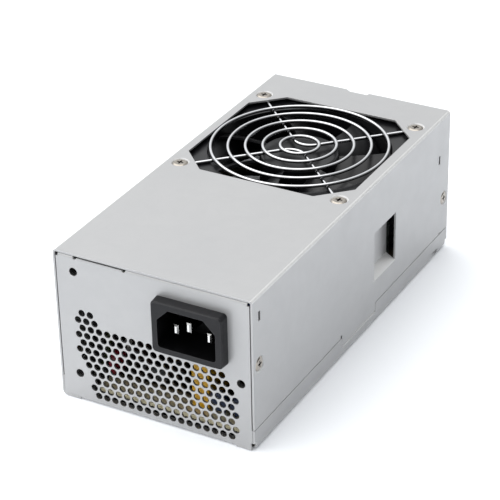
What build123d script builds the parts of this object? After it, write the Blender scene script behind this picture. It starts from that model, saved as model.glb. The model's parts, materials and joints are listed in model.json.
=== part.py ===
from build123d import *
import os
from math import cos, pi, radians, sin, sqrt, tan

os.makedirs("parts", exist_ok=True)

# Frame: origin at the centre of the base face, +Z up, the front (inlet) panel faces -Y,
# +X is to the right when the front panel is seen from outside. Millimetres.

# ---------------------------------------------------------------- driving dimensions: case
WIDTH = 85.0
HEIGHT = 65.0
LENGTH = 175.0
SHEET = 0.8                     # steel thickness of cover and tray
FIT_GAP = 0.15                  # air between two folded sheets
SEAM_Z = 9.4                    # lower edge of the cover's sides
FLANGE_TOP = 9.1                # upper edge of the tray's side flanges
TOP_FLANGE = 9.0                # depth of the flanges at the top of both end panels
COVER_BEND = 1.0                # centre-line bend radii
TRAY_BEND = 1.0
BASE_BEND = 1.8

FRONT = -LENGTH / 2             # outer face of the front panel
REAR = LENGTH / 2               # outer face of the rear panel
SIDE = WIDTH / 2                # outer face of the cover's sides
SIDE_IN = SIDE - SHEET
PANEL_HALF = SIDE_IN - FIT_GAP  # half width of the end panels, between the cover's sides
PANEL_TOP = HEIGHT - SHEET - FIT_GAP
EDGE_GAP = 0.45                 # gap that shows beside the front panel's upright edges

# ---------------------------------------------------------------- driving dimensions: fan
FAN_Y = 31.0                    # fan axis, on the case's centre plane
FAN_SIZE = 80.0
FAN_DEPTH = 20.0
FAN_PITCH = 71.5                # screw hole pitch of an 80 mm fan
FAN_BORE_R = 38.0
GUARD_WIRE_R = 0.7
GUARD_RINGS = 5
GUARD_FIRST_R = 8.0
GUARD_STEP_R = 7.15
OPENING_HALF = 37.8             # half width of the octagonal fan opening
OPENING_CUT = 12.3              # its corner cut
HUB_R = 16.5
BLADES = 7
BLADE_TIP_R = 37.2
SHAFT_R = 1.5

SUPPORT_Z = HEIGHT - SHEET - GUARD_WIRE_R - 0.05
RING_Z = SUPPORT_Z + 2 * GUARD_WIRE_R - 0.15
FAN_TOP = SUPPORT_Z - GUARD_WIRE_R - 0.05
FAN_BOTTOM = FAN_TOP - FAN_DEPTH
FAN_CENTRE = (0, FAN_Y)
FAN_CORNERS = [
    (sx * FAN_PITCH / 2, FAN_Y + sy * FAN_PITCH / 2) for sx in (-1, 1) for sy in (-1, 1)
]

# ---------------------------------------------------------------- driving dimensions: inlet and panel
INLET_X = 17.0
INLET_Z = 46.0
BEZEL_W = 30.2
BEZEL_H = 22.2
BEZEL_OUT = 4.3                 # how far the bezel stands off the panel
RECESS_W = 24.6
RECESS_H = 16.6
RECESS_DEPTH = 15.6
RECESS_CUT = 4.9                # the two keyed corners
INLET_BACK = 15.0               # housing depth behind the panel's outer face
BLADE_PITCH = 7.0
BLADE_W = 2.0
BLADE_H = 4.0
EARTH_UP = 2.0
LINE_DOWN = 2.0

MOUNT_R = 1.75                  # tapped hole for a number 6 case screw
MOUNT_LENGTH = 2.4
MOUNT_HOLES = [(-33.8, 57.2), (-33.8, 12.2), (37.2, 28.5)]

VENT_R = 1.45
VENT_PITCH = 3.66
VENT_ROW = 3.25
VENT_LEFT = -33.05
VENT_LOWEST = 4.05
VENT_ROWS = [(2, 17), (1, 18), (2, 17), (1, 18), (1, 18), (0, 19), (0, 19), (0, 18), (0, 18),
             (0, 9), (0, 3), (0, 2)]                # first column and hole count of each row
REAR_VENT_ROWS = 9
REAR_VENT_COLUMNS = 19
CABLE_X = -20.0
CABLE_Z = 45.0
CABLE_HOLE_R = 10.0
CABLE_BORE_R = 8.0

# ---------------------------------------------------------------- driving dimensions: cover details
TAB_Y = (-14.8, 15.5)           # tab on the lower edge of each cover side
TAB_DROP = 4.0
TAB_LIP = 0.45                  # bevel on the tray's flange under the tab
SCOOP_Y = (13.9, 34.2)          # pressed hook slot on the right side
SCOOP_Z = (19.9, 42.3)
SCOOP_DEPTH = 4.2
SCOOP_RAMP_Y = 5.5
SCOOP_RAMP_Z = 2.6
SIDE_SCREWS = [(-82.6, 36.1), (83.1, 25.5)]         # (y, z)
SIDE_SLOTS = [(-82.4, 56.5), (77.4, 46.1)]          # (y, z)
SLOT_SIZE = (1.5, 4.0)
FAN_DIMPLE_R = 3.7
FAN_DIMPLE_DEPTH = 1.7
SIDE_DIMPLE_R = 3.3
SIDE_DIMPLE_DEPTH = 1.3
DIMPLE_WALL = 0.9
NOTCH_X = (-6.5, 4.5)
NOTCH_DEPTH = 1.6
EAR_OUT = 40.6                  # outer face of the screw ears
EAR_H = 13.0
EAR_L = 10.0

# ---------------------------------------------------------------- driving dimensions: board and parts on it
BOARD_BOTTOM = 4.0
BOARD_THICK = 1.6
BOARD_TOP = BOARD_BOTTOM + BOARD_THICK
BOARD_X = 39.0
FILM_X = 40.2                   # half width of the insulating sheet under the board
BOARD_Y = (-84.0, 80.0)
BOARD_CUT = (11.0, 21.0)        # front left corner, free for the earth screw
EARTH_POINT = (-34.5, -78.0)
STANDOFFS = [(-35.5, -46.0), (35.5, -46.0), (-35.5, 75.0), (35.5, 75.0)]
STANDOFF_FLATS = 5.0
LEAD_R = 0.35

FLOOR = (Align.CENTER, Align.CENTER, Align.MIN)
CEILING = (Align.CENTER, Align.CENTER, Align.MAX)


def span(low, high):
    """Middle and length of the stretch from low to high."""
    return (low + high) / 2, high - low


def block(x, y, z, mode=Mode.ADD):
    """Box between pairs of limits, added to the part being built."""
    (mx, dx), (my, dy), (mz, dz) = span(*x), span(*y), span(*z)
    with Locations((mx, my, mz)):
        Box(dx, dy, dz, mode=mode)


def bend_radii(points):
    """Largest gentle radius at each inner corner of a lead's route, 0.45 of its shorter run."""
    radii = []
    for before, corner, after in zip(points, points[1:], points[2:]):
        run_in = Vector(*corner) - Vector(*before)
        run_out = Vector(*after) - Vector(*corner)
        half_turn = radians(run_in.get_angle(run_out)) / 2
        radii.append(0.45 * min(run_in.length, run_out.length) / tan(half_turn))
    return radii


def lead(points, radius):
    """Round lead of straight runs and tangent arcs, added to the part being built."""
    radii = bend_radii(points)
    with BuildLine():
        route = FilletPolyline(*points, radius=radii)
    with BuildSketch(Plane(origin=route @ 0, z_dir=route % 0)) as section:
        Circle(radius)
    sweep(section.sketch, path=route)
    print("lead radii", [round(r, 1) for r in radii], "volume of section x length",
          round(pi * radius**2 * route.length, 1))


def countersunk_screw(head_r, shank_r, sink, length, recess):
    """Cross-head countersunk screw; local origin on the sheet's face, local +Z outwards."""
    head_h = head_r - shank_r
    with Locations((0, 0, -sink)):
        Cone(shank_r, head_r, head_h, align=CEILING)
        Cone(head_r, head_r * 0.75, sink, align=FLOOR)
        Cylinder(shank_r, length, align=CEILING)
        Box(recess, recess / 4, 2.4, mode=Mode.SUBTRACT)
        Box(recess / 4, recess, 2.4, mode=Mode.SUBTRACT)


def power_devices(planes):
    """Flat power packages; local +X points away from the heatsink, local origin at the lead end."""
    with Locations(*planes):
        Box(4.4, 10.2, 9.2, align=(Align.MIN, Align.CENTER, Align.MIN))
        Box(1.3, 10.2, 15.6, align=(Align.MIN, Align.CENTER, Align.MIN))
    for offset in (-2.54, 0, 2.54):
        with Locations(*[plane.offset(0) * Location((2.4, offset, 0)) for plane in planes]):
            Box(0.5, 0.8, DEVICE_Z - BOARD_TOP, align=CEILING)
    with Locations(*[plane * Location((0, 0, DEVICE_HOLE_UP), (0, 90, 0)) for plane in planes]):
        Cylinder(DEVICE_SCREW_R + 0.1, 4, mode=Mode.SUBTRACT)


fan_screw_planes = [Plane(origin=(x, y, HEIGHT)) for x, y in FAN_CORNERS]
side_screw_planes = [
    Plane(origin=(side * SIDE, y, z), z_dir=(side, 0, 0)) for side in (-1, 1) for y, z in SIDE_SCREWS
]

# ================================================================= case
# Tray: floor, front panel and rear panel folded from one sheet, with side flanges.
with BuildPart() as tray:
    flange_z = PANEL_TOP - SHEET / 2
    with BuildSketch(Plane.YZ):
        with BuildLine():
            FilletPolyline(
                (FRONT + TOP_FLANGE, flange_z), (FRONT + SHEET / 2, flange_z),
                (FRONT + SHEET / 2, SHEET / 2), (REAR - SHEET / 2, SHEET / 2),
                (REAR - SHEET / 2, flange_z), (REAR - TOP_FLANGE, flange_z), radius=TRAY_BEND)
        trace(line_width=SHEET)
    extrude(amount=PANEL_HALF, both=True)
    for side in (-1, 1):
        wall_x = side * (SIDE - SHEET / 2)
        with BuildSketch(Plane.XZ):
            with BuildLine():
                FilletPolyline((side * (SIDE - 8), SHEET / 2), (wall_x, SHEET / 2),
                               (wall_x, FLANGE_TOP), radius=BASE_BEND)
            trace(line_width=SHEET)
        extrude(amount=LENGTH / 2, both=True)
    # round the floor's long edges all the way through the end panels
    with BuildSketch(Plane.XZ):
        with Locations((0, HEIGHT)):
            RectangleRounded(WIDTH, 2 * HEIGHT, BASE_BEND + SHEET / 2)
    extrude(amount=LENGTH / 2, both=True, mode=Mode.INTERSECT)
    # screw ears folded back from the end panels, with tapped collars
    for y, z in SIDE_SCREWS:
        ear_y = (FRONT + SHEET / 2, FRONT + EAR_L) if y < 0 else (REAR - EAR_L, REAR - SHEET / 2)
        for side in (-1, 1):
            ear_x = sorted((side * (EAR_OUT - SHEET), side * EAR_OUT))
            block(ear_x, ear_y, (z - EAR_H / 2, z + EAR_H / 2))
            ear_plane = Plane(origin=(side * EAR_OUT, y, z), z_dir=(side, 0, 0))
            with Locations(ear_plane):
                Cylinder(2.3, 2.0, align=CEILING)
                Cylinder(1.5, 8.0, mode=Mode.SUBTRACT)
    # joggled tongues that guide the cover's sides
    for side in (-1, 1):
        for y in (-48.0, 48.0):
            tongue = (y - 12, y + 12)
            block(sorted((side * (PANEL_HALF - SHEET), side * PANEL_HALF)), tongue, (4, 16))
            block(sorted((side * (PANEL_HALF - 0.3), side * (SIDE - 0.3))), tongue, (4, FLANGE_TOP - 0.4))
    # collars for the three mounting screws and the earth screw
    with Locations(*[(x, FRONT + MOUNT_LENGTH / 2, z) for x, z in MOUNT_HOLES]):
        Cylinder(2.6, MOUNT_LENGTH, rotation=(90, 0, 0))
    with Locations((*EARTH_POINT, 0)):
        Cylinder(3.4, 3.2, align=FLOOR)
        Cylinder(1.9, 10, mode=Mode.SUBTRACT)
    # openings of the front panel
    with BuildSketch(Plane.XZ.offset(-FRONT)):
        with Locations(*MOUNT_HOLES):
            Circle(MOUNT_R)
    extrude(amount=-MOUNT_LENGTH, mode=Mode.SUBTRACT)
    with BuildSketch(Plane.XZ.offset(-FRONT)):
        with Locations((INLET_X, INLET_Z)):
            Rectangle(BEZEL_W - 2.6, BEZEL_H - 2.2)
        for row, (first, count) in enumerate(VENT_ROWS):
            start = VENT_LEFT + (row % 2) * VENT_PITCH / 2 + first * VENT_PITCH
            with Locations(*[(start + i * VENT_PITCH, VENT_LOWEST + row * VENT_ROW) for i in range(count)]):
                Circle(VENT_R)
    extrude(amount=-SHEET, mode=Mode.SUBTRACT)
    # openings of the rear panel: a wide vent field and the cable exit
    with BuildSketch(Plane.XZ.offset(-REAR)):
        with Locations((CABLE_X, CABLE_Z)):
            Circle(CABLE_HOLE_R)
        for row in range(REAR_VENT_ROWS):
            start = VENT_LEFT + (row % 2) * VENT_PITCH / 2
            with Locations(*[(start + i * VENT_PITCH, VENT_LOWEST + row * VENT_ROW)
                             for i in range(REAR_VENT_COLUMNS - row % 2)]):
                Circle(VENT_R)
    extrude(amount=SHEET, mode=Mode.SUBTRACT)
    # window and bend reliefs along the front panel's top edge
    block((-33.0, -11.5), (FRONT - 1, FRONT + TOP_FLANGE + 1), (PANEL_TOP - 0.7, HEIGHT), Mode.SUBTRACT)
    for x in (-33.0, -11.5):
        with Locations((x, FRONT, PANEL_TOP - 0.6)):
            Cylinder(0.8, 6, rotation=(90, 0, 0), mode=Mode.SUBTRACT)
    # bend reliefs at the panel corners
    for side in (-1, 1):
        corner_x = sorted((side * (PANEL_HALF - 1.2), side * (SIDE + 1)))
        block(corner_x, (FRONT - 1, FRONT + TOP_FLANGE + 1), (PANEL_TOP - 1.5, HEIGHT), Mode.SUBTRACT)
        block(corner_x, (REAR - TOP_FLANGE - 1, REAR + 1), (PANEL_TOP - 1.5, HEIGHT), Mode.SUBTRACT)
        block(corner_x, (REAR - 1.6, REAR + 1), (-1, 3.4), Mode.SUBTRACT)
    block((PANEL_HALF - 0.7, SIDE + 1), (FRONT - 1, FRONT + 1.6), (-1, 3.4), Mode.SUBTRACT)
    # the front panel's upright edges stand clear of the cover
    for side in (-1, 1):
        block(sorted((side * (SIDE_IN - EDGE_GAP), side * SIDE_IN)), (FRONT - 1, FRONT + SHEET + 0.4),
              (FLANGE_TOP, HEIGHT), Mode.SUBTRACT)
    # room in the flanges for the cover's tabs, and a relief near the rear end
    tab_room_z = SEAM_Z - TAB_DROP - 0.3
    for side in (-1, 1):
        flange_x = sorted((side * (PANEL_HALF + 0.05), side * (SIDE + 1)))
        block(flange_x, (TAB_Y[0] - 0.3, TAB_Y[1] + 0.3), (tab_room_z, HEIGHT), Mode.SUBTRACT)
        with BuildSketch(Plane.XZ.offset(-TAB_Y[0])) as lip:
            Polygon((side * SIDE, tab_room_z), (side * (SIDE - TAB_LIP), tab_room_z),
                    (side * SIDE, tab_room_z - TAB_LIP), align=None)
        extrude(lip.sketch, amount=TAB_Y[0] - TAB_Y[1], mode=Mode.SUBTRACT)
        block(flange_x, (72.4, 77.6), (-1, 3.2), Mode.SUBTRACT)
tray.part.label = "tray"
export_step(tray.part, "parts/tray.step")

# Cover: top and two sides folded from one sheet.
with BuildPart() as cover:
    with BuildSketch(Plane.XZ):
        with BuildLine():
            FilletPolyline(
                (SHEET / 2 - SIDE, SEAM_Z), (SHEET / 2 - SIDE, HEIGHT - SHEET / 2),
                (SIDE - SHEET / 2, HEIGHT - SHEET / 2), (SIDE - SHEET / 2, SEAM_Z), radius=COVER_BEND)
        trace(line_width=SHEET)
    extrude(amount=LENGTH / 2, both=True)
    for side in (-1, 1):
        block(sorted((side * SIDE_IN, side * SIDE)), TAB_Y, (SEAM_Z - TAB_DROP, SEAM_Z + 1))
        flange_x = sorted((side * (SIDE_IN - 1), side * (SIDE + 1)))
        block(flange_x, (TAB_Y[0] - 1.4, TAB_Y[0]), (SEAM_Z - 1, SEAM_Z + 1.2), Mode.SUBTRACT)
        block(flange_x, (79.0, 80.0), (SEAM_Z - 1, SEAM_Z + 0.8), Mode.SUBTRACT)
        for y, z in SIDE_SLOTS:
            block(flange_x, (y - SLOT_SIZE[0] / 2, y + SLOT_SIZE[0] / 2),
                  (z - SLOT_SIZE[1] / 2, z + SLOT_SIZE[1] / 2), Mode.SUBTRACT)
    # countersunk screw dimples
    with Locations(*fan_screw_planes):
        Cone(FAN_DIMPLE_R - FAN_DIMPLE_DEPTH + DIMPLE_WALL, FAN_DIMPLE_R + DIMPLE_WALL,
             FAN_DIMPLE_DEPTH, align=CEILING)
        Cone(FAN_DIMPLE_R - FAN_DIMPLE_DEPTH, FAN_DIMPLE_R, FAN_DIMPLE_DEPTH, align=CEILING,
             mode=Mode.SUBTRACT)
    with Locations(*side_screw_planes):
        Cone(SIDE_DIMPLE_R - SIDE_DIMPLE_DEPTH + DIMPLE_WALL, SIDE_DIMPLE_R + DIMPLE_WALL,
             SIDE_DIMPLE_DEPTH, align=CEILING)
        Cone(SIDE_DIMPLE_R - SIDE_DIMPLE_DEPTH, SIDE_DIMPLE_R, SIDE_DIMPLE_DEPTH, align=CEILING,
             mode=Mode.SUBTRACT)
    # octagonal fan opening and rear notch
    with BuildSketch(Plane.XY.offset(HEIGHT)) as fan_opening:
        with Locations(FAN_CENTRE):
            Rectangle(2 * OPENING_HALF, 2 * OPENING_HALF)
        chamfer(fan_opening.vertices(), OPENING_CUT)
    extrude(amount=-SHEET, mode=Mode.SUBTRACT)
    with BuildSketch(Plane.XY.offset(HEIGHT)):
        with BuildLine():
            Polyline((NOTCH_X[0], REAR + 1), (NOTCH_X[0], REAR), (NOTCH_X[0] + 2.5, REAR - NOTCH_DEPTH),
                     (NOTCH_X[1] - 0.6, REAR - NOTCH_DEPTH), (NOTCH_X[1], REAR), (NOTCH_X[1], REAR + 1),
                     close=True)
        make_face()
    extrude(amount=-SHEET, mode=Mode.SUBTRACT)
    # hook scoop: pressed pocket, open at its top edge and its rear edge
    for grow, depth, mode in ((0.6, SCOOP_DEPTH + SHEET, Mode.ADD), (0, SCOOP_DEPTH, Mode.SUBTRACT)):
        mouth_y = (SCOOP_Y[0] - grow, SCOOP_Y[1])
        mouth_z = (SCOOP_Z[0] - grow, SCOOP_Z[1])
        floor_y = (mouth_y[0] + SCOOP_RAMP_Y, SCOOP_Y[1])
        floor_z = (mouth_z[0] + SCOOP_RAMP_Z, SCOOP_Z[1])
        for inset, (low_y, high_y), (low_z, high_z) in (
                (0, mouth_y, mouth_z), (depth, floor_y, floor_z)):
            with BuildSketch(Plane.YZ.offset(SIDE - inset)):
                with Locations(((low_y + high_y) / 2, (low_z + high_z) / 2)):
                    Rectangle(high_y - low_y, high_z - low_z)
        loft(ruled=True, mode=mode)
cover.part.label = "cover"
export_step(cover.part, "parts/cover.step")

# Screws: four into the ears, four into the fan.
with BuildPart() as cover_screws:
    with Locations(*side_screw_planes):
        countersunk_screw(head_r=2.85, shank_r=1.4, sink=0.4, length=5.5, recess=2.6)
cover_screws.part.label = "cover_screws"
export_step(cover_screws.part, "parts/cover_screws.step")

with BuildPart() as fan_screws:
    with Locations(*fan_screw_planes):
        countersunk_screw(head_r=3.2, shank_r=1.7, sink=0.4, length=9.0, recess=2.8)
fan_screws.part.label = "fan_screws"
export_step(fan_screws.part, "parts/fan_screws.step")

# ================================================================= fan
# Guard: rings welded on two bent wires that end in eyes round the fan screws.
EYE_R = 4.75
GUARD_BEND = 7.0
with BuildPart() as fan_guard:
    with Locations((*FAN_CENTRE, RING_Z)):
        for ring in range(GUARD_RINGS):
            Torus(GUARD_FIRST_R + ring * GUARD_STEP_R, GUARD_WIRE_R)
    with Locations(*[(x, y, SUPPORT_Z) for x, y in FAN_CORNERS]):
        Torus(EYE_R, GUARD_WIRE_R)
    reach = FAN_PITCH / 2 - (EYE_R - 0.3) / sqrt(2)
    for way in (-1, 1):
        with BuildLine() as hairpin:
            FilletPolyline((-reach, FAN_Y + way * reach, SUPPORT_Z), (0, FAN_Y, SUPPORT_Z),
                           (reach, FAN_Y + way * reach, SUPPORT_Z), radius=GUARD_BEND)
        with BuildSketch(Plane(origin=hairpin.line @ 0, z_dir=hairpin.line % 0)):
            Circle(GUARD_WIRE_R)
        sweep(path=hairpin.line)
fan_guard.part.label = "fan_guard"
export_step(fan_guard.part, "parts/fan_guard.step")

# Frame: lower flange with the motor plate on four struts, round duct, upper flange.
FLANGE_H = 3.5
FLANGE_CORNER_R = 4.0
FLANGE_HOLE_R = 1.8
DUCT_R = 39.6
TUBE_R = 4.4
TUBE_H = 12.5
TUBE_FLOOR = 1.4
BEARING_R = 3.0
MOTOR_PLATE_R = 17.0
MOTOR_PLATE_H = 2.4
STRUT_W = 4.0


def fan_flange(base):
    """Square flange with the bore of the duct and its four screw holes."""
    with BuildSketch(Plane.XY.offset(base)) as outline:
        with Locations(FAN_CENTRE):
            RectangleRounded(FAN_SIZE, FAN_SIZE, FLANGE_CORNER_R)
            Circle(FAN_BORE_R, mode=Mode.SUBTRACT)
        with Locations(*FAN_CORNERS):
            Circle(FLANGE_HOLE_R, mode=Mode.SUBTRACT)
    extrude(outline.sketch, amount=FLANGE_H)


with BuildPart() as fan_frame:
    fan_flange(FAN_BOTTOM)
    with Locations((*FAN_CENTRE, FAN_BOTTOM)):
        Cylinder(MOTOR_PLATE_R, MOTOR_PLATE_H, align=FLOOR)
    with Locations(*[Location((0, FAN_Y, FAN_BOTTOM), (0, 0, 45 + 90 * i)) for i in range(4)]):
        with Locations((MOTOR_PLATE_R - 1, 0, 0)):
            Box(FAN_BORE_R - MOTOR_PLATE_R + 1.8, STRUT_W, MOTOR_PLATE_H,
                align=(Align.MIN, Align.CENTER, Align.MIN))
    with Locations((*FAN_CENTRE, FAN_BOTTOM)):
        Cylinder(TUBE_R, TUBE_H, align=FLOOR)
    with Locations((*FAN_CENTRE, FAN_BOTTOM + TUBE_FLOOR)):
        Cylinder(BEARING_R + 0.02, FAN_DEPTH, align=FLOOR, mode=Mode.SUBTRACT)
fan_frame.part.label = "fan_frame"
export_step(fan_frame.part, "parts/fan_frame.step")

with BuildPart() as fan_duct:
    with Locations((*FAN_CENTRE, FAN_BOTTOM + FLANGE_H)):
        Cylinder(DUCT_R, FAN_DEPTH - 2 * FLANGE_H, align=FLOOR)
        Cylinder(FAN_BORE_R, FAN_DEPTH - 2 * FLANGE_H, align=FLOOR, mode=Mode.SUBTRACT)
fan_duct.part.label = "fan_duct"
export_step(fan_duct.part, "parts/fan_duct.step")

with BuildPart() as fan_top_flange:
    fan_flange(FAN_TOP - FLANGE_H)
fan_top_flange.part.label = "fan_top_flange"
export_step(fan_top_flange.part, "parts/fan_top_flange.step")

# Impeller: cup-shaped hub with seven cambered, twisted blades.
HUB_BOTTOM = FAN_BOTTOM + MOTOR_PLATE_H + 1.2
HUB_TOP = FAN_TOP - 1.2
HUB_WALL = 1.4
SHAFT_BOTTOM = FAN_BOTTOM + 1.8
SHAFT_TOP = HUB_TOP - 0.9
BLADE_MID_Z = (HUB_BOTTOM + HUB_TOP) / 2 + 0.2
BLADE_THICK = 1.1
# radius, chord, pitch from the plane of rotation, forward sweep
BLADE_SECTIONS = [(HUB_R - 1.5, 16.0, 50.0, 0.0), (27.0, 21.0, 38.0, 6.0), (39.5, 25.0, 29.0, 14.0)]
CAMBER = 0.1
with BuildPart() as fan_impeller:
    for index in range(BLADES):
        turn = 360 / BLADES * index
        for radius, chord, pitch, forward in BLADE_SECTIONS:
            angle = radians(turn + forward)
            outward = Vector(cos(angle), sin(angle), 0)
            tangent = Vector(-sin(angle), cos(angle), 0)
            along = tangent * cos(radians(pitch)) + Vector(0, 0, sin(radians(pitch)))
            origin = Vector(*FAN_CENTRE, BLADE_MID_Z) + outward * radius
            with BuildSketch(Plane(origin=origin, x_dir=along, z_dir=outward)):
                with BuildLine():
                    ThreePointArc((-chord / 2, 0), (0, CAMBER * chord), (chord / 2, 0))
                trace(line_width=BLADE_THICK)
        loft()
    with BuildSketch(Plane.XY.offset(HUB_BOTTOM)):
        with Locations(FAN_CENTRE):
            Circle(BLADE_TIP_R)
    extrude(amount=HUB_TOP - HUB_BOTTOM, mode=Mode.INTERSECT)
    with Locations((*FAN_CENTRE, HUB_BOTTOM)):
        Cylinder(HUB_R, HUB_TOP - HUB_BOTTOM, align=FLOOR)
    fillet(fan_impeller.edges().filter_by(GeomType.CIRCLE).group_by(Axis.Z)[-1], 1.2)
    with Locations((*FAN_CENTRE, HUB_BOTTOM)):
        Cylinder(HUB_R - HUB_WALL, HUB_TOP - HUB_BOTTOM - 1.6, align=FLOOR, mode=Mode.SUBTRACT)
    with Locations((*FAN_CENTRE, HUB_TOP)):
        Cylinder(3.2, 4.0, align=CEILING)
    with Locations((*FAN_CENTRE, SHAFT_TOP + 0.05)):
        Cylinder(SHAFT_R + 0.01, 8.0, align=CEILING, mode=Mode.SUBTRACT)
fan_impeller.part.label = "fan_impeller"
export_step(fan_impeller.part, "parts/fan_impeller.step")

with BuildPart() as fan_shaft:
    with Locations((*FAN_CENTRE, SHAFT_BOTTOM)):
        Cylinder(SHAFT_R, SHAFT_TOP - SHAFT_BOTTOM, align=FLOOR)
    chamfer(fan_shaft.edges().group_by(Axis.Z)[0], 0.3)
fan_shaft.part.label = "fan_shaft"
export_step(fan_shaft.part, "parts/fan_shaft.step")

MAGNET_OUT = HUB_R - HUB_WALL - 0.02
MAGNET_IN = MAGNET_OUT - 1.3
with BuildPart() as fan_magnet_ring:
    with Locations((*FAN_CENTRE, HUB_BOTTOM + 0.4)):
        Cylinder(MAGNET_OUT, 10.0, align=FLOOR)
        Cylinder(MAGNET_IN, 30.0, mode=Mode.SUBTRACT)
fan_magnet_ring.part.label = "fan_magnet_ring"
export_step(fan_magnet_ring.part, "parts/fan_magnet_ring.step")

with BuildPart() as fan_bearing:
    with Locations((*FAN_CENTRE, FAN_BOTTOM + 2.4)):
        Cylinder(BEARING_R, 10.0, align=FLOOR)
        Cylinder(SHAFT_R + 0.05, 30.0, mode=Mode.SUBTRACT)
fan_bearing.part.label = "fan_bearing"
export_step(fan_bearing.part, "parts/fan_bearing.step")

STATOR_Z = FAN_BOTTOM + 6.6
STATOR_R = MAGNET_IN - 0.5
with BuildPart() as fan_stator:
    with BuildSketch(Plane.XY.offset(STATOR_Z)):
        with Locations(FAN_CENTRE):
            Circle(7.0)
            with PolarLocations(0, 4):
                with Locations((STATOR_R / 2, 0)):
                    Rectangle(STATOR_R, 4.0)
            with PolarLocations(STATOR_R - 1.2, 4):
                Rectangle(1.8, 13.0)
    extrude(amount=5.0)
    with BuildSketch(Plane.XY.offset(STATOR_Z)):
        with Locations(FAN_CENTRE):
            Circle(STATOR_R)
    extrude(amount=5.0, mode=Mode.INTERSECT)
    with Locations((*FAN_CENTRE, STATOR_Z)):
        Cylinder(TUBE_R + 0.02, 30.0, mode=Mode.SUBTRACT)
fan_stator.part.label = "fan_stator"
export_step(fan_stator.part, "parts/fan_stator.step")

with BuildPart() as fan_coils:
    with BuildSketch(Plane.XY.offset(STATOR_Z - 1.0)):
        with Locations(FAN_CENTRE):
            with PolarLocations(9.0, 4):
                RectangleRounded(3.2, 8.6, 1.0)
    extrude(amount=7.0)
    with BuildSketch(Plane.XY.offset(STATOR_Z)):
        with Locations(FAN_CENTRE):
            with PolarLocations(9.0, 4):
                Rectangle(3.4, 4.04)
    extrude(amount=5.0, mode=Mode.SUBTRACT)
fan_coils.part.label = "fan_coils"
export_step(fan_coils.part, "parts/fan_coils.step")

with BuildPart() as fan_circuit_board:
    with Locations((*FAN_CENTRE, FAN_BOTTOM + MOTOR_PLATE_H + 0.1)):
        Cylinder(12.5, 1.0, align=FLOOR)
        Cylinder(TUBE_R + 0.05, 30.0, mode=Mode.SUBTRACT)
fan_circuit_board.part.label = "fan_circuit_board"
export_step(fan_circuit_board.part, "parts/fan_circuit_board.step")

# ================================================================= mains inlet
with BuildPart() as inlet_housing:
    # bezel, slightly drafted towards its front edge
    for inset, shrink in ((0, 0), (BEZEL_OUT, 0.5)):
        with BuildSketch(Plane.XZ.offset(-FRONT + inset)):
            with Locations((INLET_X, INLET_Z)):
                RectangleRounded(BEZEL_W - shrink, BEZEL_H - shrink, 1.6)
    loft()
    chamfer(inlet_housing.faces().sort_by(Axis.Y)[0].edges(), 0.5)
    # body behind the panel, with a snap ridge each side
    with BuildSketch(Plane.XZ.offset(-FRONT)):
        with Locations((INLET_X, INLET_Z)):
            Rectangle(BEZEL_W - 2.9, BEZEL_H - 2.5)
    extrude(amount=-INLET_BACK)
    for side in (-1, 1):
        ridge_x = sorted((INLET_X + side * (BEZEL_W / 2 - 1.6), INLET_X + side * (BEZEL_W / 2 - 0.9)))
        block(ridge_x, (FRONT + SHEET + 0.1, FRONT + 3.5), (INLET_Z - 4, INLET_Z + 4))
    # recess with two keyed corners at the top
    with BuildSketch(Plane.XZ.offset(-FRONT + BEZEL_OUT)) as recess:
        with Locations((INLET_X, INLET_Z)):
            Rectangle(RECESS_W, RECESS_H)
        chamfer(recess.vertices().group_by(Axis.Y)[-1], RECESS_CUT)
        fillet(recess.vertices().group_by(Axis.Y)[0], 1.5)
    extrude(amount=-RECESS_DEPTH, mode=Mode.SUBTRACT)
    # slots that hold the blades
    for x, z in ((-BLADE_PITCH, -LINE_DOWN), (BLADE_PITCH, -LINE_DOWN), (0, EARTH_UP)):
        with Locations((INLET_X + x, FRONT + INLET_BACK, INLET_Z + z)):
            Box(BLADE_W + 0.04, 10, BLADE_H + 0.04, mode=Mode.SUBTRACT)
inlet_housing.part.label = "inlet_housing"
export_step(inlet_housing.part, "parts/inlet_housing.step")

BLADE_END = FRONT + 19.5
LINE_TIP = FRONT + 0.2
EARTH_TIP = FRONT - 2.4


def contact_blade(x, z, tip):
    """Flat contact blade from its tip to its solder tab, with a tapered tip."""
    block((x - BLADE_W / 2, x + BLADE_W / 2), (tip, BLADE_END), (z - BLADE_H / 2, z + BLADE_H / 2))


with BuildPart() as inlet_live_blade:
    contact_blade(INLET_X - BLADE_PITCH, INLET_Z - LINE_DOWN, LINE_TIP)
    chamfer(inlet_live_blade.faces().sort_by(Axis.Y)[0].edges(), 0.6)
inlet_live_blade.part.label = "inlet_live_blade"
export_step(inlet_live_blade.part, "parts/inlet_live_blade.step")

with BuildPart() as inlet_neutral_blade:
    contact_blade(INLET_X + BLADE_PITCH, INLET_Z - LINE_DOWN, LINE_TIP)
    chamfer(inlet_neutral_blade.faces().sort_by(Axis.Y)[0].edges(), 0.6)
inlet_neutral_blade.part.label = "inlet_neutral_blade"
export_step(inlet_neutral_blade.part, "parts/inlet_neutral_blade.step")

with BuildPart() as inlet_earth_blade:
    contact_blade(INLET_X, INLET_Z + EARTH_UP, EARTH_TIP)
    chamfer(inlet_earth_blade.faces().sort_by(Axis.Y)[0].edges(), 0.6)
inlet_earth_blade.part.label = "inlet_earth_blade"
export_step(inlet_earth_blade.part, "parts/inlet_earth_blade.step")

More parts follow.
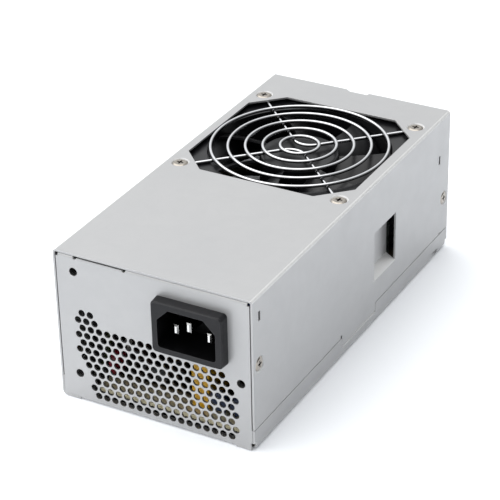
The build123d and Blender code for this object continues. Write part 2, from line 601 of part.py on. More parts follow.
# Leads from the inlet: live and neutral down to the board, earth to the screw in the floor.
WIRE_R = 1.0
LINE_Z = INLET_Z - LINE_DOWN
LIVE_X = INLET_X - BLADE_PITCH
NEUTRAL_X = INLET_X + BLADE_PITCH
with BuildPart() as live_wire:
    lead([(LIVE_X, BLADE_END, LINE_Z), (LIVE_X, BLADE_END + 13, LINE_Z),
          (LIVE_X - 3, BLADE_END + 15.5, 26), (LIVE_X - 3, BLADE_END + 15.5, BOARD_TOP)], WIRE_R)
live_wire.part.label = "live_wire"
export_step(live_wire.part, "parts/live_wire.step")

with BuildPart() as neutral_wire:
    lead([(NEUTRAL_X, BLADE_END, LINE_Z), (NEUTRAL_X, BLADE_END + 13, LINE_Z),
          (NEUTRAL_X + 1, BLADE_END + 15.5, 26), (NEUTRAL_X + 1, BLADE_END + 15.5, BOARD_TOP)], WIRE_R)
neutral_wire.part.label = "neutral_wire"
export_step(neutral_wire.part, "parts/neutral_wire.step")

TERMINAL_Z = 3.2
EARTH_WIRE_Z = TERMINAL_Z + 0.5 + WIRE_R
with BuildPart() as earth_wire:
    lead([(INLET_X, BLADE_END, INLET_Z + EARTH_UP), (INLET_X, BLADE_END + 12, INLET_Z + EARTH_UP),
          (INLET_X - 20, BLADE_END + 9, INLET_Z + 6), (-30, -60, 46), (-36.2, -62, 26),
          (-35.0, -64.5, EARTH_WIRE_Z + 5), (EARTH_POINT[0], -73.0, EARTH_WIRE_Z)], WIRE_R)
earth_wire.part.label = "earth_wire"
export_step(earth_wire.part, "parts/earth_wire.step")

with BuildPart() as earth_ring_terminal:
    with BuildSketch(Plane.XY.offset(TERMINAL_Z)):
        with Locations(EARTH_POINT):
            Circle(3.6)
            Rectangle(2.6, 6.5, align=(Align.CENTER, Align.MIN))
        with Locations(EARTH_POINT):
            Circle(2.0, mode=Mode.SUBTRACT)
    extrude(amount=0.5)
earth_ring_terminal.part.label = "earth_ring_terminal"
export_step(earth_ring_terminal.part, "parts/earth_ring_terminal.step")

with BuildPart() as earth_screw:
    with Locations((*EARTH_POINT, TERMINAL_Z + 0.5)):
        Cylinder(3.3, 2.2, align=FLOOR)
        Cylinder(1.8, 3.2, align=CEILING)
    fillet(earth_screw.edges().group_by(Axis.Z)[-1], 0.8)
    with Locations((*EARTH_POINT, TERMINAL_Z + 2.7)):
        Box(3.4, 0.8, 2.4, mode=Mode.SUBTRACT)
        Box(0.8, 3.4, 2.4, mode=Mode.SUBTRACT)
earth_screw.part.label = "earth_screw"
export_step(earth_screw.part, "parts/earth_screw.step")

# ================================================================= board and its fixings
with BuildPart() as insulating_sheet:
    block((-FILM_X, FILM_X), (BOARD_Y[0] + 1, BOARD_Y[1] + 1), (SHEET, SHEET + 0.4))
    block((-FILM_X - 1, -BOARD_X + BOARD_CUT[0]), (BOARD_Y[0], BOARD_Y[0] + BOARD_CUT[1] + 1),
          (0, 3), Mode.SUBTRACT)
    with Locations(*STANDOFFS):
        Cylinder(3.4, 4, mode=Mode.SUBTRACT)
insulating_sheet.part.label = "insulating_sheet"
export_step(insulating_sheet.part, "parts/insulating_sheet.step")

with BuildPart() as board_standoffs:
    with BuildSketch(Plane.XY.offset(SHEET)):
        with Locations(*STANDOFFS):
            RegularPolygon(STANDOFF_FLATS / 2, 6, major_radius=False)
            Circle(1.25, mode=Mode.SUBTRACT)
    extrude(amount=BOARD_BOTTOM - SHEET)
board_standoffs.part.label = "board_standoffs"
export_step(board_standoffs.part, "parts/board_standoffs.step")

with BuildPart() as board_screws:
    with Locations(*[(x, y, BOARD_TOP) for x, y in STANDOFFS]):
        Cylinder(2.6, 1.7, align=FLOOR)
        Cylinder(1.2, 4.0, align=CEILING)
    fillet(board_screws.edges().group_by(Axis.Z)[-1], 0.6)
    with Locations(*[(x, y, BOARD_TOP + 1.7) for x, y in STANDOFFS]):
        Box(2.8, 0.7, 2.0, mode=Mode.SUBTRACT)
        Box(0.7, 2.8, 2.0, mode=Mode.SUBTRACT)
board_screws.part.label = "board_screws"
export_step(board_screws.part, "parts/board_screws.step")

with BuildPart() as main_board:
    block((-BOARD_X, BOARD_X), BOARD_Y, (BOARD_BOTTOM, BOARD_TOP))
    block((-BOARD_X - 1, -BOARD_X + BOARD_CUT[0]), (BOARD_Y[0] - 1, BOARD_Y[0] + BOARD_CUT[1]),
          (0, HEIGHT), Mode.SUBTRACT)
    with Locations(*STANDOFFS):
        Cylinder(1.5, 40, mode=Mode.SUBTRACT)
main_board.part.label = "main_board"
export_step(main_board.part, "parts/main_board.step")


# ================================================================= parts on the board
def ring_core(x, y, z, outer, inner, height, upright=False):
    """Ring core of rectangular section, flat on the board or upright across it."""
    turned = (90, 0, 0) if upright else (0, 0, 0)
    with Locations(Location((x, y, z), turned)):
        Cylinder(outer, height)
        Cylinder(inner, height + 2, mode=Mode.SUBTRACT)


def ring_winding(x, y, z, outer, inner, height, arcs, build=1.2, upright=False):
    """Closed outer shape of the winding over stated arcs (start, sweep) of a ring core."""
    plane = Plane(Location((x, y, z), (90, 0, 0) if upright else (0, 0, 0)))
    skin = 0.05
    for start, sweep_angle in arcs:
        for grow, mode in ((build, Mode.ADD), (skin, Mode.SUBTRACT)):
            low, high = inner - grow, outer + grow
            section_plane = Plane(plane.origin, x_dir=plane.x_dir.rotate(
                Axis((0, 0, 0), plane.z_dir), start), z_dir=plane.z_dir)
            cut_plane = Plane(section_plane.origin, x_dir=section_plane.x_dir,
                              z_dir=section_plane.x_dir.cross(section_plane.z_dir))
            with BuildSketch(cut_plane) as section:
                with Locations(((low + high) / 2, 0)):
                    Rectangle(high - low, height + 2 * grow)
            revolve(section.sketch, axis=Axis(plane.origin, plane.z_dir), revolution_arc=sweep_angle,
                    mode=mode)


LINE_CHOKE = dict(x=-7.0, y=-68.0, z=BOARD_TOP + 14.0, outer=11.5, inner=6.0, height=9.0, upright=True)
with BuildPart() as line_choke_core:
    ring_core(**LINE_CHOKE)
line_choke_core.part.label = "line_choke_core"
export_step(line_choke_core.part, "parts/line_choke_core.step")

with BuildPart() as line_choke_windings:
    ring_winding(**LINE_CHOKE, arcs=[(-70, 140), (110, 140)])
line_choke_windings.part.label = "line_choke_windings"
export_step(line_choke_windings.part, "parts/line_choke_windings.step")


def legs(places, top, radius=LEAD_R):
    """Round component legs from the board up to the given height."""
    with Locations(*[(x, y, BOARD_TOP) for x, y in places]):
        Cylinder(radius, top - BOARD_TOP, align=FLOOR)


X_CAP_X = (11.0, 18.5)
X_CAP_Y = (-79.5, -61.5)
X_CAP_Z = (BOARD_TOP + 0.4, 26.0)
with BuildPart() as x_capacitor:
    block(X_CAP_X, X_CAP_Y, X_CAP_Z)
    fillet(x_capacitor.edges().filter_by(Axis.Z), 0.8)
    fillet(x_capacitor.faces().sort_by(Axis.Z)[-1].edges(), 0.5)
    legs([(sum(X_CAP_X) / 2, y) for y in (X_CAP_Y[0] + 1.5, X_CAP_Y[1] - 1.5)], X_CAP_Z[0] + 0.5)
x_capacitor.part.label = "x_capacitor"
export_step(x_capacitor.part, "parts/x_capacitor.step")


def disc(x, y, z, radius, thick, facing, spread):
    """Dipped disc component with a rounded rim on two legs, facing along X or along Y."""
    facing_x = facing == "X"
    normal = Vector(1, 0, 0) if facing_x else Vector(0, 1, 0)
    upwards = Vector(0, 0, 1)
    with BuildSketch(Plane((x, y, z), x_dir=upwards, z_dir=upwards.cross(normal))) as section:
        with Locations((radius / 2, 0)):
            Rectangle(radius, thick)
        fillet(section.vertices().group_by(Axis.X)[-1], thick * 0.35)
    revolve(section.sketch, axis=Axis((x, y, z), normal))
    ends = [(x, y - spread), (x, y + spread)] if facing_x else [(x - spread, y), (x + spread, y)]
    legs(ends, z - radius * 0.6)


with BuildPart() as y_capacitors:
    for y_cap_x in (22.8, 32.2):
        disc(y_cap_x, -79.0, BOARD_TOP + 6.2, 4.3, 3.4, "Y", 2.4)
y_capacitors.part.label = "y_capacitors"
export_step(y_capacitors.part, "parts/y_capacitors.step")

with BuildPart() as varistor:
    disc(-25.2, -74.0, BOARD_TOP + 6.8, 5.0, 3.2, "X", 3.0)
varistor.part.label = "varistor"
export_step(varistor.part, "parts/varistor.step")

with BuildPart() as inrush_thermistor:
    disc(-32.0, -50.5, BOARD_TOP + 9.5, 6.0, 4.4, "Y", 3.6)
inrush_thermistor.part.label = "inrush_thermistor"
export_step(inrush_thermistor.part, "parts/inrush_thermistor.step")

FUSE = (-21.5, -57.6, BOARD_TOP + 4.0)
with BuildPart() as mains_fuse:
    with Locations(FUSE):
        Cylinder(2.6, 20.0, rotation=(0, 90, 0))
    for end in (-8.0, 8.0):
        with Locations((FUSE[0] + end, FUSE[1], BOARD_TOP)):
            Box(4.0, 1.6, 3.0, align=FLOOR)
mains_fuse.part.label = "mains_fuse"
export_step(mains_fuse.part, "parts/mains_fuse.step")

BRIDGE_X = (30.0, 33.6)
BRIDGE_Y = (-72.0, -50.0)
with BuildPart() as bridge_rectifier:
    block(BRIDGE_X, BRIDGE_Y, (BOARD_TOP + 5, BOARD_TOP + 23))
    chamfer(bridge_rectifier.edges().filter_by(Axis.X).group_by(Axis.Z)[-1].sort_by(Axis.Y)[-1], 2.5)
    for leg_y in (-69.0, -63.9, -58.8, -53.7):
        block((31.4, 32.2), (leg_y - 0.6, leg_y + 0.6), (BOARD_TOP, BOARD_TOP + 5.2))
bridge_rectifier.part.label = "bridge_rectifier"
export_step(bridge_rectifier.part, "parts/bridge_rectifier.step")

PFC_CHOKE = dict(x=-11.0, y=-36.0, z=BOARD_TOP + 9.5, outer=13.5, inner=7.0, height=12.0)
with BuildPart() as pfc_choke_core:
    ring_core(**PFC_CHOKE)
pfc_choke_core.part.label = "pfc_choke_core"
export_step(pfc_choke_core.part, "parts/pfc_choke_core.step")

with BuildPart() as pfc_choke_winding:
    ring_winding(**PFC_CHOKE, arcs=[(-80, 320)], build=1.5)
pfc_choke_winding.part.label = "pfc_choke_winding"
export_step(pfc_choke_winding.part, "parts/pfc_choke_winding.step")


def can_capacitors(places, radius, height):
    """Aluminium-can capacitors with a rolled groove near the board."""
    with Locations(*[(x, y, BOARD_TOP) for x, y in places]):
        Cylinder(radius, height, align=FLOOR)
    with BuildSketch(Plane.XY.offset(BOARD_TOP + 2.0)) as groove:
        with Locations(*places):
            Circle(radius + 1)
        with Locations(*places):
            Circle(radius - 0.5, mode=Mode.SUBTRACT)
    extrude(groove.sketch, amount=1.2, mode=Mode.SUBTRACT)


with BuildPart() as bulk_capacitor:
    can_capacitors([(22.0, -31.0)], 14.5, 40.0)
    fillet(bulk_capacitor.edges().group_by(Axis.Z)[-1], 1.2)
bulk_capacitor.part.label = "bulk_capacitor"
export_step(bulk_capacitor.part, "parts/bulk_capacitor.step")

# Heatsinks: comb-shaped aluminium sections with the power devices screwed to the flat side.
SINK_TOP = 38.0
SINK_BOTTOM = BOARD_TOP
PRIMARY_X = -33.0               # flat side, devices towards +X
PRIMARY_Y = (-42.0, 8.0)
SECONDARY_X = 16.5              # flat side, devices towards +X
SECONDARY_Y = (2.0, 56.0)
SINK_WEB = 2.0
SINK_FIN = 3.4


def comb_heatsink(flat_x, limits_y):
    """Upright web with horizontal fins on the side away from the devices."""
    block((flat_x - SINK_WEB, flat_x), limits_y, (SINK_BOTTOM, SINK_TOP))
    for fin_z in (SINK_TOP - 1.2, SINK_TOP - 6.2, SINK_TOP - 11.2, SINK_TOP - 16.2):
        block((flat_x - SINK_WEB - SINK_FIN, flat_x - SINK_WEB), limits_y, (fin_z, fin_z + 1.2))


DEVICE_Z = 16.0
DEVICE_HOLE_UP = 12.6
DEVICE_SCREW_R = 1.45
primary_devices = [Plane(origin=(PRIMARY_X + 0.2, y, DEVICE_Z)) for y in (-22.0, -8.0, 3.0)]
secondary_devices = [Plane(origin=(SECONDARY_X + 0.2, y, DEVICE_Z)) for y in (12.0, 28.0, 44.0)]
screw_places = [
    plane * Location((1.3, 0, DEVICE_HOLE_UP), (0, 90, 0)) for plane in primary_devices + secondary_devices
]

with BuildPart() as primary_heatsink:
    comb_heatsink(PRIMARY_X, PRIMARY_Y)
    with Locations(*screw_places[:3]):
        Cylinder(DEVICE_SCREW_R + 0.1, 20, mode=Mode.SUBTRACT)
primary_heatsink.part.label = "primary_heatsink"
export_step(primary_heatsink.part, "parts/primary_heatsink.step")

with BuildPart() as primary_transistors:
    power_devices(primary_devices)
primary_transistors.part.label = "primary_transistors"
export_step(primary_transistors.part, "parts/primary_transistors.step")

with BuildPart() as secondary_heatsink:
    comb_heatsink(SECONDARY_X, SECONDARY_Y)
    with Locations(*screw_places[3:]):
        Cylinder(DEVICE_SCREW_R + 0.1, 20, mode=Mode.SUBTRACT)
secondary_heatsink.part.label = "secondary_heatsink"
export_step(secondary_heatsink.part, "parts/secondary_heatsink.step")

with BuildPart() as output_rectifiers:
    power_devices(secondary_devices)
output_rectifiers.part.label = "output_rectifiers"
export_step(output_rectifiers.part, "parts/output_rectifiers.step")

with BuildPart() as device_screws:
    with Locations(*screw_places):
        Cylinder(2.7, 2.0, align=FLOOR)
        Cylinder(DEVICE_SCREW_R, 4.2, align=CEILING)
        with Locations((0, 0, 2.0)):
            Box(2.8, 0.7, 1.6, mode=Mode.SUBTRACT)
            Box(0.7, 2.8, 1.6, mode=Mode.SUBTRACT)
device_screws.part.label = "device_screws"
export_step(device_screws.part, "parts/device_screws.step")


def e_core(x, y, length, width, height, leg, z):
    """Closed double-E core: outer frame with two windows either side of the centre leg."""
    with Locations((x, y, z)):
        Box(length, width, height, align=FLOOR)
    window = (length - 4 * leg) / 2
    for side in (-1, 1):
        with Locations((x + side * (leg + window / 2), y, z + leg)):
            Box(window, width + 2, height - 2 * leg, align=FLOOR, mode=Mode.SUBTRACT)


def bobbin(x, y, length, width, height, leg, z, bulge):
    """Taped coil round the centre leg, on a pin base."""
    window = (length - 4 * leg) / 2
    gap = 0.15
    with Locations((x, y, z + leg + gap)):
        Box(2 * leg + 2 * window - 2 * gap, width + 2 * bulge, height - 2 * leg - 2 * gap, align=FLOOR)
        Box(2 * leg + 2 * gap, width + 2 * gap, height, align=FLOOR, mode=Mode.SUBTRACT)
    for side in (-1, 1):
        with Locations((x, y + side * (width / 2 + bulge - 0.8), BOARD_TOP)):
            Box(2 * leg + 2 * window, 1.6, z + leg + 1.0 - BOARD_TOP, align=FLOOR)


MAIN_TRANSFORMER = dict(x=-8.5, y=8.0, length=34.0, width=10.0, height=29.0, leg=4.5, z=BOARD_TOP + 2.0)
with BuildPart() as transformer_core:
    e_core(**MAIN_TRANSFORMER)
transformer_core.part.label = "transformer_core"
export_step(transformer_core.part, "parts/transformer_core.step")

with BuildPart() as transformer_bobbin:
    bobbin(**MAIN_TRANSFORMER, bulge=8.0)
    fillet(transformer_bobbin.faces().sort_by(Axis.Z)[-1].edges().filter_by(Axis.X), 1.0)
transformer_bobbin.part.label = "transformer_bobbin"
export_step(transformer_bobbin.part, "parts/transformer_bobbin.step")

STANDBY = dict(x=-28.0, y=27.0, length=16.0, width=5.0, height=14.0, leg=2.2, z=BOARD_TOP + 1.5)
with BuildPart() as standby_transformer_core:
    e_core(**STANDBY)
standby_transformer_core.part.label = "standby_transformer_core"
export_step(standby_transformer_core.part, "parts/standby_transformer_core.step")

with BuildPart() as standby_transformer_bobbin:
    bobbin(**STANDBY, bulge=4.0)
standby_transformer_bobbin.part.label = "standby_transformer_bobbin"
export_step(standby_transformer_bobbin.part, "parts/standby_transformer_bobbin.step")

OUTPUT_CHOKE = dict(x=-8.0, y=45.0, z=BOARD_TOP + 8.5, outer=12.5, inner=6.5, height=10.0)
with BuildPart() as output_choke_core:
    ring_core(**OUTPUT_CHOKE)
output_choke_core.part.label = "output_choke_core"
export_step(output_choke_core.part, "parts/output_choke_core.step")

with BuildPart() as output_choke_winding:
    ring_winding(**OUTPUT_CHOKE, arcs=[(-80, 330)], build=1.5)
output_choke_winding.part.label = "output_choke_winding"
export_step(output_choke_winding.part, "parts/output_choke_winding.step")

OUTPUT_CAPS = [(x, 68.0) for x in (-26.0, -14.0, -2.0, 10.0, 22.0)]
with BuildPart() as output_capacitors:
    can_capacitors(OUTPUT_CAPS, 5.0, 22.0)
    fillet(output_capacitors.edges().group_by(Axis.Z)[-1], 0.7)
output_capacitors.part.label = "output_capacitors"
export_step(output_capacitors.part, "parts/output_capacitors.step")

CONTROL_X = (33.0, 34.2)
CONTROL_Y = (-4.0, 46.0)
with BuildPart() as control_board:
    block(CONTROL_X, CONTROL_Y, (BOARD_TOP, BOARD_TOP + 24))
control_board.part.label = "control_board"
export_step(control_board.part, "parts/control_board.step")

with BuildPart() as control_chips:
    for chip_y, chip_z, chip_w in ((4, 18, 10.0), (22, 20, 6.0), (38, 16, 9.0)):
        block((CONTROL_X[0] - 1.6, CONTROL_X[0]), (chip_y - chip_w / 2, chip_y + chip_w / 2),
              (chip_z - 3, chip_z + 3))
    chamfer(control_chips.faces().group_by(Axis.X)[0].edges(), 0.3)
control_chips.part.label = "control_chips"
export_step(control_chips.part, "parts/control_chips.step")

with BuildPart() as optocouplers:
    for coupler_y in (38.0, 46.0, 54.0):
        block((-36.5, -30.0), (coupler_y - 2.3, coupler_y + 2.3), (BOARD_TOP + 0.6, BOARD_TOP + 4.4))
        for leg_x in (-36.8, -29.7):
            for leg_y in (-1.27, 1.27):
                block((leg_x - 0.4, leg_x + 0.4), (coupler_y + leg_y - 0.3, coupler_y + leg_y + 0.3),
                      (BOARD_TOP, BOARD_TOP + 3.0))
optocouplers.part.label = "optocouplers"
export_step(optocouplers.part, "parts/optocouplers.step")

# ================================================================= fan lead and cable exit
HEADER = (-22.0, -15.0)
PLUG_TOP = BOARD_TOP + 11.5
with BuildPart() as fan_header:
    block((HEADER[0] - 3, HEADER[0] + 3), (HEADER[1] - 2.5, HEADER[1] + 2.5), (BOARD_TOP, BOARD_TOP + 3))
    for pin in (-1.27, 1.27):
        block((HEADER[0] + pin - 0.32, HEADER[0] + pin + 0.32), (HEADER[1] - 0.32, HEADER[1] + 0.32),
              (BOARD_TOP + 2.5, BOARD_TOP + 7))
fan_header.part.label = "fan_header"
export_step(fan_header.part, "parts/fan_header.step")

with BuildPart() as fan_lead_plug:
    block((HEADER[0] - 3, HEADER[0] + 3), (HEADER[1] - 2.5, HEADER[1] + 2.5), (BOARD_TOP + 3.1, PLUG_TOP))
    for pin in (-1.27, 1.27):
        block((HEADER[0] + pin - 0.4, HEADER[0] + pin + 0.4), (HEADER[1] - 0.4, HEADER[1] + 0.4),
              (BOARD_TOP + 3, BOARD_TOP + 7.5), Mode.SUBTRACT)
fan_lead_plug.part.label = "fan_lead_plug"
export_step(fan_lead_plug.part, "parts/fan_lead_plug.step")

with BuildPart() as fan_lead:
    lead([(HEADER[0], HEADER[1], PLUG_TOP), (HEADER[0], HEADER[1], PLUG_TOP + 12),
          (HEADER[0] + 3, HEADER[1] + 1, FAN_BOTTOM - 9), (HEADER[0] + 10, FAN_Y - 38, FAN_BOTTOM - 2.5),
          (-3, FAN_Y - 24, FAN_BOTTOM - 1.6), (-2, FAN_Y - MOTOR_PLATE_R + 1, FAN_BOTTOM - 1.2)], 1.1)
fan_lead.part.label = "fan_lead"
export_step(fan_lead.part, "parts/fan_lead.step")

# Grommet: split bush that lines the cable exit, gripping the panel in its groove.
with BuildPart() as cable_grommet:
    with Locations(Location((CABLE_X, REAR - SHEET / 2, CABLE_Z), (90, 0, 0))):
        Cylinder(CABLE_HOLE_R + 1.4, 5.2)
        Cylinder(CABLE_BORE_R, 20, mode=Mode.SUBTRACT)
    with Locations(Location((CABLE_X, REAR - SHEET / 2, CABLE_Z), (90, 0, 0))):
        Cylinder(CABLE_HOLE_R + 4, SHEET + 0.1, mode=Mode.SUBTRACT)
    with Locations(Location((CABLE_X, REAR - SHEET / 2, CABLE_Z), (90, 0, 0))):
        Cylinder(CABLE_HOLE_R - 0.05, SHEET + 0.4)
        Cylinder(CABLE_BORE_R, 20, mode=Mode.SUBTRACT)
    fillet(cable_grommet.edges().filter_by(GeomType.CIRCLE).filter_by(
        lambda e: e.radius > CABLE_HOLE_R + 1).group_by(Axis.Y)[-1], 1.0)
cable_grommet.part.label = "cable_grommet"
export_step(cable_grommet.part, "parts/cable_grommet.step")
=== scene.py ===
"""Looks of a slim desktop power supply unit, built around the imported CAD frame. Metres throughout."""

import json
import math

import bmesh
import bpy
from mathutils import Matrix, Vector


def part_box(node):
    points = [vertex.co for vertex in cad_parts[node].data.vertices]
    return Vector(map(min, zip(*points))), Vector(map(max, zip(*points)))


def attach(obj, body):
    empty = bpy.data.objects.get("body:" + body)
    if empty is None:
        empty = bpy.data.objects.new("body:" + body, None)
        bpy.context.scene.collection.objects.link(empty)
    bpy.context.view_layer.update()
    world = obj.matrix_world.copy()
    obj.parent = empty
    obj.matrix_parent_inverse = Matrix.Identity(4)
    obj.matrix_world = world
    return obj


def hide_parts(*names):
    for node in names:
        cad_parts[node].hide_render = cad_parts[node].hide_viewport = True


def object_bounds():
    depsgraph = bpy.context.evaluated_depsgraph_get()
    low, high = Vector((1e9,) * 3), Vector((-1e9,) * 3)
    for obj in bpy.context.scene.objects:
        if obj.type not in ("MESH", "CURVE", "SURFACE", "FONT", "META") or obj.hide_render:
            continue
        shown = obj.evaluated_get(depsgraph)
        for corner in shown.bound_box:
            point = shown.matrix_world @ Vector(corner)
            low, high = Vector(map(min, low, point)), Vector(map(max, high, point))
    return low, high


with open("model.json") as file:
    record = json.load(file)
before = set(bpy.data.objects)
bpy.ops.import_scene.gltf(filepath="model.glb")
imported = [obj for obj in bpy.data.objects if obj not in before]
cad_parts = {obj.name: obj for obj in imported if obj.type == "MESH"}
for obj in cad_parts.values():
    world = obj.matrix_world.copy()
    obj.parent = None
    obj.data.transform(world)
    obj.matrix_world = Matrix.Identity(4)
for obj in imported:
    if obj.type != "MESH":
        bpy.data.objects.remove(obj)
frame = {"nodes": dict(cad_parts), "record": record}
cad_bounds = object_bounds()
NODES = frame["nodes"]

# ------------------------------------------------------------------ camera
CAMERA_AZIMUTH = 29.27          # degrees from -Y towards +X
CAMERA_ELEVATION = 29.63
CAMERA_ROLL = -1.18
CAMERA_PLACE = (0.3345, -0.6092, 0.4263)
CAMERA_LENS = 141.7


def make_camera():
    azimuth = math.radians(CAMERA_AZIMUTH)
    elevation = math.radians(CAMERA_ELEVATION)
    roll = math.radians(CAMERA_ROLL)
    back = Vector((math.sin(azimuth) * math.cos(elevation),
                   -math.cos(azimuth) * math.cos(elevation), math.sin(elevation)))
    level = Vector((0, 0, 1)).cross(back).normalized()
    upright = back.cross(level)
    right = level * math.cos(roll) + upright * math.sin(roll)
    up = upright * math.cos(roll) - level * math.sin(roll)
    camera = bpy.data.objects.new("camera", bpy.data.cameras.new("camera"))
    bpy.context.scene.collection.objects.link(camera)
    turn = Matrix((right, up, back)).transposed().to_4x4()
    camera.matrix_world = Matrix.Translation(CAMERA_PLACE) @ turn
    camera.data.lens = CAMERA_LENS
    camera.data.sensor_width = 36
    camera.data.clip_start = 0.01
    bpy.context.scene.camera = camera


# ------------------------------------------------------------------ node helpers
class Shader:
    """A Principled material with short ways to add procedural detail."""

    def __init__(self, name, color, metallic=0.0, roughness=0.5, **sockets):
        self.material = bpy.data.materials.new(name)
        self.material.use_nodes = True
        self.nodes = self.material.node_tree.nodes
        self.links = self.material.node_tree.links
        self.bsdf = self.nodes["Principled BSDF"]
        self.color = color
        self.roughness = roughness
        self.bsdf.inputs["Base Color"].default_value = (*color, 1)
        self.bsdf.inputs["Metallic"].default_value = metallic
        self.bsdf.inputs["Roughness"].default_value = roughness
        for socket, value in sockets.items():
            self.bsdf.inputs[socket.replace("_", " ")].default_value = value
        self.coordinate = self.nodes.new("ShaderNodeTexCoord").outputs["Object"]
        self.normal = None
        self.tint = None

    def noise(self, scale, stretch=(1, 1, 1), detail=4, rough=0.55):
        """Noise value over the object, scale in cells per metre, stretched along its axes."""
        mapping = self.nodes.new("ShaderNodeMapping")
        mapping.inputs["Scale"].default_value = tuple(scale * s for s in stretch)
        self.links.new(self.coordinate, mapping.inputs["Vector"])
        noise = self.nodes.new("ShaderNodeTexNoise")
        noise.inputs["Scale"].default_value = 1
        noise.inputs["Detail"].default_value = detail
        noise.inputs["Roughness"].default_value = rough
        self.links.new(mapping.outputs["Vector"], noise.inputs["Vector"])
        return noise.outputs["Fac"]

    def cells(self, scale, stretch=(1, 1, 1)):
        """Random value for each crystal-like cell."""
        mapping = self.nodes.new("ShaderNodeMapping")
        mapping.inputs["Scale"].default_value = tuple(scale * s for s in stretch)
        self.links.new(self.coordinate, mapping.inputs["Vector"])
        voronoi = self.nodes.new("ShaderNodeTexVoronoi")
        voronoi.inputs["Scale"].default_value = 1
        self.links.new(mapping.outputs["Vector"], voronoi.inputs["Vector"])
        split = self.nodes.new("ShaderNodeSeparateColor")
        self.links.new(voronoi.outputs["Color"], split.inputs["Color"])
        return split.outputs["Red"]

    def ranged(self, value, low, high, start=0.3, end=0.7):
        """The value mapped onto low to high."""
        node = self.nodes.new("ShaderNodeMapRange")
        for socket, number in (("From Min", start), ("From Max", end), ("To Min", low), ("To Max", high)):
            node.inputs[socket].default_value = number
        self.links.new(value, node.inputs["Value"])
        return node.outputs["Result"]

    def mix(self, factor, other, amount=1.0):
        """Blend the colour towards another one by a factor that varies over the surface."""
        node = self.nodes.new("ShaderNodeMix")
        node.data_type = "RGBA"
        if self.tint is None:
            node.inputs[6].default_value = (*self.color, 1)
        else:
            self.links.new(self.tint, node.inputs[6])
        node.inputs[7].default_value = (*other, 1)
        scaled = self.ranged(factor, 0, amount, 0, 1)
        self.links.new(scaled, node.inputs[0])
        self.tint = node.outputs[2]
        self.links.new(self.tint, self.bsdf.inputs["Base Color"])

    def vary_roughness(self, value, spread):
        self.links.new(self.ranged(value, self.roughness - spread, self.roughness + spread),
                       self.bsdf.inputs["Roughness"])

    def bump(self, value, depth):
        """Bump of the given depth in metres, on top of any bump already there."""
        node = self.nodes.new("ShaderNodeBump")
        node.inputs["Distance"].default_value = depth
        node.inputs["Strength"].default_value = 1
        self.links.new(value, node.inputs["Height"])
        if self.normal is not None:
            self.links.new(self.normal, node.inputs["Normal"])
        self.normal = node.outputs["Normal"]
        self.links.new(self.normal, self.bsdf.inputs["Normal"])

    def calc(self, operation, first, second=0.0):
        """One maths node; either input is a socket or a number."""
        node = self.nodes.new("ShaderNodeMath")
        node.operation = operation
        for index, value in enumerate((first, second)):
            if isinstance(value, (int, float)):
                node.inputs[index].default_value = value
            else:
                self.links.new(value, node.inputs[index])
        return node.outputs[0]

    def axes(self, socket):
        split = self.nodes.new("ShaderNodeSeparateXYZ")
        self.links.new(socket, split.inputs[0])
        return split.outputs

    def product(self, *masks):
        total = masks[0]
        for mask in masks[1:]:
            total = self.calc("MULTIPLY", total, mask)
        return total

    def facing(self, direction, start, end):
        """1 where the surface faces the given fixed direction of the object, 0 where it turns away."""
        dot = self.nodes.new("ShaderNodeVectorMath")
        dot.operation = "DOT_PRODUCT"
        dot.inputs[1].default_value = Vector(direction).normalized()
        self.links.new(self.nodes.new("ShaderNodeNewGeometry").outputs["Normal"], dot.inputs[0])
        return self.ranged(dot.outputs["Value"], 0, 1, start, end)

    def soften(self, radius):
        """Rounds the look of sharp edges."""
        node = self.nodes.new("ShaderNodeBevel")
        node.samples = 4
        node.inputs["Radius"].default_value = radius
        self.normal = node.outputs["Normal"]
        self.links.new(self.normal, self.bsdf.inputs["Normal"])

    def edge_mask(self, radius):
        """1 on sharp edges, 0 on open surfaces."""
        bevel = self.nodes.new("ShaderNodeBevel")
        bevel.samples = 4
        bevel.inputs["Radius"].default_value = radius
        geometry = self.nodes.new("ShaderNodeNewGeometry")
        dot = self.nodes.new("ShaderNodeVectorMath")
        dot.operation = "DOT_PRODUCT"
        self.links.new(bevel.outputs["Normal"], dot.inputs[0])
        self.links.new(geometry.outputs["Normal"], dot.inputs[1])
        return self.ranged(dot.outputs["Value"], 1, 0, 0.8, 0.995)


# ------------------------------------------------------------------ materials
STEEL = (0.445, 0.445, 0.447)
STEEL_LIGHT = (0.47, 0.47, 0.47)
STEEL_DARK = (0.42, 0.422, 0.428)
STEEL_EDGE_HIGHLIGHT = (0.66, 0.66, 0.65)
STEEL_BEND_HIGHLIGHT = (0.86, 0.86, 0.85)


def sheet_steel(name="galvanised_sheet"):
    """Satin galvanised sheet: faint rolling grain and crystals, painted highlights on sharp edges and on
    the long upper bends.
    """
    s = Shader(name, STEEL, metallic=0.55, roughness=0.40)
    s.soften(0.00015)
    s.mix(s.cells(260), STEEL_LIGHT, 0.4)
    s.mix(s.ranged(s.noise(22, detail=3), 0, 1), STEEL_DARK, 0.5)
    # painted highlight along sharp edges
    s.mix(s.edge_mask(0.0002), STEEL_EDGE_HIGHLIGHT, 0.6)
    # painted highlight on the long bends, where the normal leans between up and sideways
    across, _, up = s.axes(s.nodes.new("ShaderNodeNewGeometry").outputs["Normal"])
    bend_highlight_mask = s.calc("ADD", s.calc("ABSOLUTE", across), up)
    s.mix(s.ranged(bend_highlight_mask, 0, 1, 1.13, 1.37), STEEL_BEND_HIGHLIGHT, 0.9)
    s.vary_roughness(s.noise(120, detail=4), 0.04)
    s.bump(s.noise(900, (1, 0.03, 1), detail=3), 0.0000015)
    return s


THREAD_PITCH = 0.0008
THREAD_HIGHLIGHT_LEVEL = 0.55             # sine value above which a thread's crest gets a painted highlight
PANEL_FACE = 0.0850             # the end panels lie further from the middle than this
PANEL_HALF_WIDTH = 0.0405
PANEL_LOW = 0.0015
PANEL_HIGH = 0.0625


